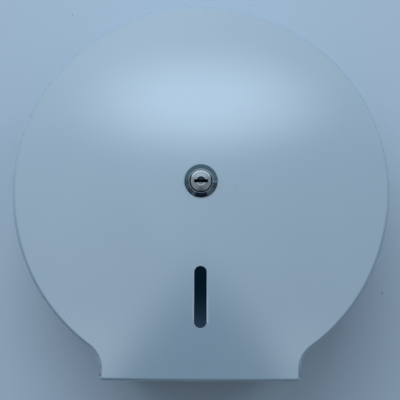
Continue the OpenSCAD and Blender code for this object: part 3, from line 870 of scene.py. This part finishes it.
MIDDLE = Vector((0.0, -0.06, 0.0))
COOL = (0.93, 1.0, 1.07)
FRONT_TINT = (0.95, 1.0, 1.06)
SHADE_TINT = (0.83, 1.0, 1.08)
SKY_TINT = (0.86, 1.0, 1.08)
CEILING_TINT = (0.84, 1.0, 1.18)


def lamp(name, place, size, power, color):
    """A soft light of a width and a height that points at the object's middle."""
    data = bpy.data.lights.new(name, "AREA")
    data.shape = "RECTANGLE"
    data.size, data.size_y = size
    data.energy = power
    data.color = color
    made = bpy.data.objects.new(name, data)
    made.location = place
    made.rotation_euler = (MIDDLE - Vector(place)).to_track_quat("-Z", "Y").to_euler()
    made.visible_camera = False
    made.visible_glossy = False
    bpy.context.scene.collection.objects.link(made)


class Room(Nodes):
    """The world's nodes."""

    def __init__(self):
        world = bpy.data.worlds.new("room")
        world.use_nodes = True
        bpy.context.scene.world = world
        super().__init__(world.node_tree)

    def spot(self, across, up, centre, radii, soft):
        """1 inside an ellipse of the view's tangent plane, falling to 0 round it."""
        x = self.math("DIVIDE", self.math("SUBTRACT", across, centre[0]), radii[0])
        z = self.math("DIVIDE", self.math("SUBTRACT", up, centre[1]), radii[1])
        reach = self.math("ADD", self.math("MULTIPLY", x, x), self.math("MULTIPLY", z, z))
        return self.fade(self.math("SQRT", reach), 1.0 + soft, 1.0 - soft)


# The mirrored room: levels of its light, and where in it one goes over into the next.
# Heights named FADE are of the view's direction itself; the others lie in the plane at
# distance 1 in front of the object, across and up.
LEAST_AHEAD = 0.02
LOW_LEVEL = 0.03
HIGH_LEVEL = 0.64
HORIZON_FADE = (-0.4, 0.3)
FLOOR_GLOW = 0.03
FLOOR_FADE = (-0.6, -0.8)
REAR_LEVEL = 0.42
REAR_FADE = (-0.1, 0.3)
PANEL_GLOW = 0.72
PANEL_RADII = (0.6, 0.6)
PANEL_SOFT = 0.25
PANEL_FOOT = (-0.56, -0.42)
UPPER_GLOW = 1.17
UPPER_RUN = (0.05, 0.4)
LOWER_GLOW = 1.12
LOWER_RUN = (-0.22, -0.38)
RIGHT_SHADE = (0.78, 0.78, 0.78, 1.0)
RIGHT_RUN = (-0.3, 0.4)
CEILING_GLOW = 2.22
CEILING_PLACE = (0.0, 0.205)
CEILING_RADII = (0.2, 0.085)
CEILING_SOFT = 0.75
WEDGE_TOP = -0.17
WEDGE_WIDTH = 0.6
WEDGE_POWER = 1.3
WEDGE_EDGE = (-0.1, 0.09)
WEDGE_DARK = (0.05, 0.014, 0.0, 1.0)
WEDGE_PALE = (0.04, 0.055, 0.085, 1.0)
WEDGE_RUN = (-0.45, -0.6)
GLINT_SOFT = 0.3
SEEN_COLOR = linear(196, 208, 219)

# Small bright places that the lock's sloping ring mirrors: across, up, radius, level
GLINTS = (
    (0.64, -0.54, 0.22, 0.42),
    (0.79, -0.29, 0.15, 0.28),
    (0.47, -0.7, 0.13, 0.42),
    (-0.62, -0.56, 0.2, 0.24),
    (-0.79, -0.29, 0.18, 0.42),
    (-0.44, -0.72, 0.11, 0.42),
    (0.83, 0.0, 0.08, 1.8),
)


def shade(level, color=COOL):
    """The room's cool light at a level."""
    return tuple(level * part for part in color) + (1.0,)


def far_room(room, direction):
    """The room's light by the view's direction: from low to high, its floor and its rear."""
    low, high = shade(LOW_LEVEL, SKY_TINT), shade(HIGH_LEVEL, SKY_TINT)
    base = room.blend(room.fade(direction["Z"], *HORIZON_FADE), low, high)
    base = room.blend(room.fade(direction["Z"], *FLOOR_FADE), base, shade(FLOOR_GLOW))
    return room.blend(room.fade(direction["Y"], *REAR_FADE), base, shade(REAR_LEVEL))


def pale_panel(room, base, across, up):
    """The pale wall in front of the object, darker to the right, and the ceiling light."""
    pale = room.blend(room.fade(up, *UPPER_RUN), shade(PANEL_GLOW), shade(UPPER_GLOW))
    pale = room.blend(room.fade(up, *LOWER_RUN), pale, shade(LOWER_GLOW))
    pale = room.blend(room.fade(across, *RIGHT_RUN), pale, RIGHT_SHADE, "MULTIPLY")
    panel = room.spot(across, up, (0.0, 0.0), PANEL_RADII, PANEL_SOFT)
    panel = room.math("MULTIPLY", panel, room.fade(up, *PANEL_FOOT))
    base = room.blend(panel, base, pale)
    lit = room.spot(across, up, CEILING_PLACE, CEILING_RADII, CEILING_SOFT)
    return room.blend(lit, base, shade(CEILING_GLOW, CEILING_TINT))


def dark_wedge(room, base, across, up):
    """A dark wedge that widens downwards and is paler at its foot."""
    wide = room.math("DIVIDE", room.math("ABSOLUTE", across), WEDGE_WIDTH)
    wide = room.math("POWER", wide, WEDGE_POWER)
    inside = room.math("SUBTRACT", room.math("SUBTRACT", WEDGE_TOP, up), wide)
    tone = room.blend(room.fade(up, *WEDGE_RUN), WEDGE_DARK, WEDGE_PALE)
    return room.blend(room.fade(inside, *WEDGE_EDGE), base, tone)


def build_world():
    """The mirrored room, and an even backdrop that the camera itself sees."""
    room = Room()
    direction = room.split(room.node("ShaderNodeTexCoord").outputs["Generated"])
    ahead = room.math("MAXIMUM", room.math("MULTIPLY", direction["Y"], -1.0), LEAST_AHEAD)
    across = room.math("DIVIDE", direction["X"], ahead)
    up = room.math("DIVIDE", direction["Z"], ahead)

    base = far_room(room, direction)
    base = pale_panel(room, base, across, up)
    base = dark_wedge(room, base, across, up)
    for x, z, radius, level in GLINTS:
        glint = room.spot(across, up, (x, z), (radius, radius), GLINT_SOFT)
        base = room.blend(glint, base, shade(level))

    rays = room.node("ShaderNodeLightPath").outputs["Is Camera Ray"]
    background = room.tree.nodes["Background"]
    room.tree.links.new(room.blend(rays, base, SEEN_COLOR), background.inputs["Color"])


def build_camera():
    """A camera straight in front of the wall, as in the photograph."""
    data = bpy.data.cameras.new("camera")
    data.sensor_width = SENSOR
    data.lens = FOCAL_PIXELS * SENSOR / IMAGE_PIXELS
    made = bpy.data.objects.new("camera", data)
    made.location = (CAMERA_X, -CAMERA_DISTANCE, CAMERA_Z)
    made.rotation_euler = (math.pi / 2, CAMERA_ROLL, 0)
    bpy.context.scene.collection.objects.link(made)
    bpy.context.scene.camera = made


# The finishes, the pieces that wear them, and the cover's fine mesh
cover_plastic = plastic(
    "cover_plastic",
    light=linear(131, 154, 172),
    dark=linear(128, 151, 169),
    roughness=0.17,
    grain=0.0015 * MM,
    wave=0.02 * MM,
)
cover_plastic.set(Coat_Weight=1.0, Coat_Roughness=0.1, Coat_IOR=2.0)
add_specks(cover_plastic, COVER_SPECKS)
add_notch_dust_and_shade(cover_plastic)
base_plastic = plastic(
    "base_plastic",
    light=linear(168, 184, 198),
    dark=linear(162, 178, 192),
    roughness=0.5,
    grain=0.01 * MM,
    wave=0.05 * MM,
)
hub_plastic = plastic(
    "hub_plastic",
    light=linear(196, 206, 214),
    dark=linear(189, 199, 208),
    roughness=0.42,
    grain=0.008 * MM,
    wave=0.05 * MM,
)
window_plastic = smoked()
chrome = lock_chrome()
nickel = turned_nickel()
plated = metal(
    "plated_steel",
    light=linear(196, 200, 202),
    dark=linear(186, 191, 194),
    roughness=0.3,
    scale=150.0,
    grain=0.0005 * MM,
)
zinc = metal(
    "zinc_steel",
    light=linear(202, 205, 203),
    dark=linear(184, 190, 190),
    roughness=0.34,
    scale=260.0,
    grain=0.0006 * MM,
)
stainless = metal(
    "stainless",
    light=linear(204, 205, 204),
    dark=linear(196, 198, 198),
    roughness=0.32,
    scale=60.0,
    grain=0.0005 * MM,
)
brass = metal(
    "brass",
    light=linear(112, 96, 66),
    dark=linear(92, 78, 52),
    roughness=0.4,
    scale=260.0,
    grain=0.0005 * MM,
)

FINISHES = {
    "back_plate": base_plastic,
    "spindle_post": base_plastic,
    "spindle_screws": zinc,
    "keeper_plate": plated,
    "keeper_screws": zinc,
    "hinge_pins": plated,
    "cover_shell": cover_plastic,
    "level_window": window_plastic,
    "tear_strip_left": stainless,
    "tear_strip_right": stainless,
    "tear_strip_screws": zinc,
    "lock_housing": chrome,
    "lock_washer": plated,
    "lock_nut": plated,
    "lock_plug": nickel,
    "lock_wafers": brass,
    "stop_washer": plated,
    "lock_cam": plated,
    "cam_washer": plated,
    "cam_screw": zinc,
    "roll_hub": hub_plastic,
}
SOFTENED = ("back_plate", "spindle_post", "keeper_plate", "roll_hub")
for node_name, node_finish in FINISHES.items():
    dress(node_name, node_finish)
for node_name in SOFTENED:
    soften(node_name)
build_cover(cover_plastic)

# The stage, in metres
WALL_SIZE = 2.5
FLOOR_LEVEL = -1.2
FLOOR_DEPTH = 1.0
WALL_GAP = 0.5 * MM
floor_corners = [
    (-WALL_SIZE, -FLOOR_DEPTH, FLOOR_LEVEL),
    (WALL_SIZE, -FLOOR_DEPTH, FLOOR_LEVEL),
    (WALL_SIZE, WALL_GAP, FLOOR_LEVEL),
    (-WALL_SIZE, WALL_GAP, FLOOR_LEVEL),
]
wall_corners = [
    (-WALL_SIZE, WALL_GAP, FLOOR_LEVEL),
    (WALL_SIZE, WALL_GAP, FLOOR_LEVEL),
    (WALL_SIZE, WALL_GAP, WALL_SIZE),
    (-WALL_SIZE, WALL_GAP, WALL_SIZE),
]
wall_paint = backdrop(
    "wall_paint",
    color=linear(152, 169, 185),
    roughness=0.7,
    mirrored=True,
    specks=WALL_SPECKS,
)
floor_paint = backdrop(
    "floor_paint", color=linear(205, 212, 219), roughness=0.6, mirrored=False, specks=()
)
sheet("wall", wall_corners, wall_paint)
sheet("floor", floor_corners, floor_paint)

# Each lamp's place and size in metres, its power in watts and its tint
LAMPS = {
    "front": ((-0.4, -1.7, 1.6), (1.9, 1.1), 35.6, FRONT_TINT),
    "right": ((1.6, -0.9, 1.4), (0.8, 0.8), 9.5, SHADE_TINT),
    "left": ((-1.6, -0.9, 1.4), (0.8, 0.8), 9.0, SHADE_TINT),
    "rear": ((0.3, 1.8, 1.0), (1.2, 1.2), 24.0, COOL),
}
for lamp_name, settings in LAMPS.items():
    lamp(lamp_name, *settings)

build_world()
build_camera()
bpy.context.scene.view_settings.view_transform = "Standard"
